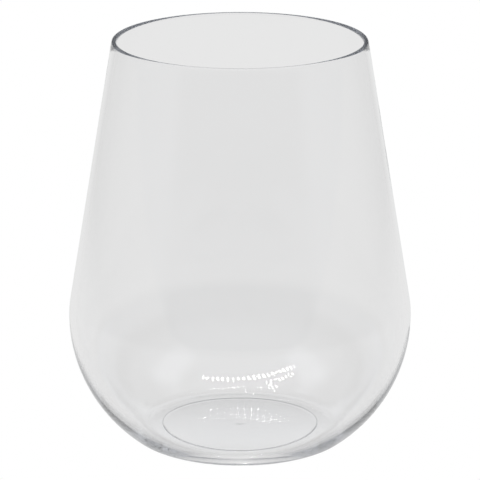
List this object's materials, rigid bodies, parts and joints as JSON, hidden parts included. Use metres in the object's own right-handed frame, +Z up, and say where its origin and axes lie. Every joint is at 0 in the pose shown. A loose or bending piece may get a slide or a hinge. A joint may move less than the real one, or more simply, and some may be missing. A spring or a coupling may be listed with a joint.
{
  "type": "stemless wine glass",
  "caption": "Clear stemless wine glass: straight upper wall tapering in to a rounded lip, round belly, and a flat base with a shallow recess underneath.",
  "frame": {"origin": "centre of the base, on the plane of the bearing ring that the glass stands on", "axes": "+Z up along the glass's axis of revolution; +X and +Y are any two level directions, because the glass is round"},
  "size_m": [0.094, 0.094, 0.112],
  "materials": {
    "clear_glass": "clear, smooth and polished all over, faintly scuffed on the bearing ring"
  },
  "bodies": {
    "root": {"glass_body": "clear_glass"}
  },
  "joints": []
}
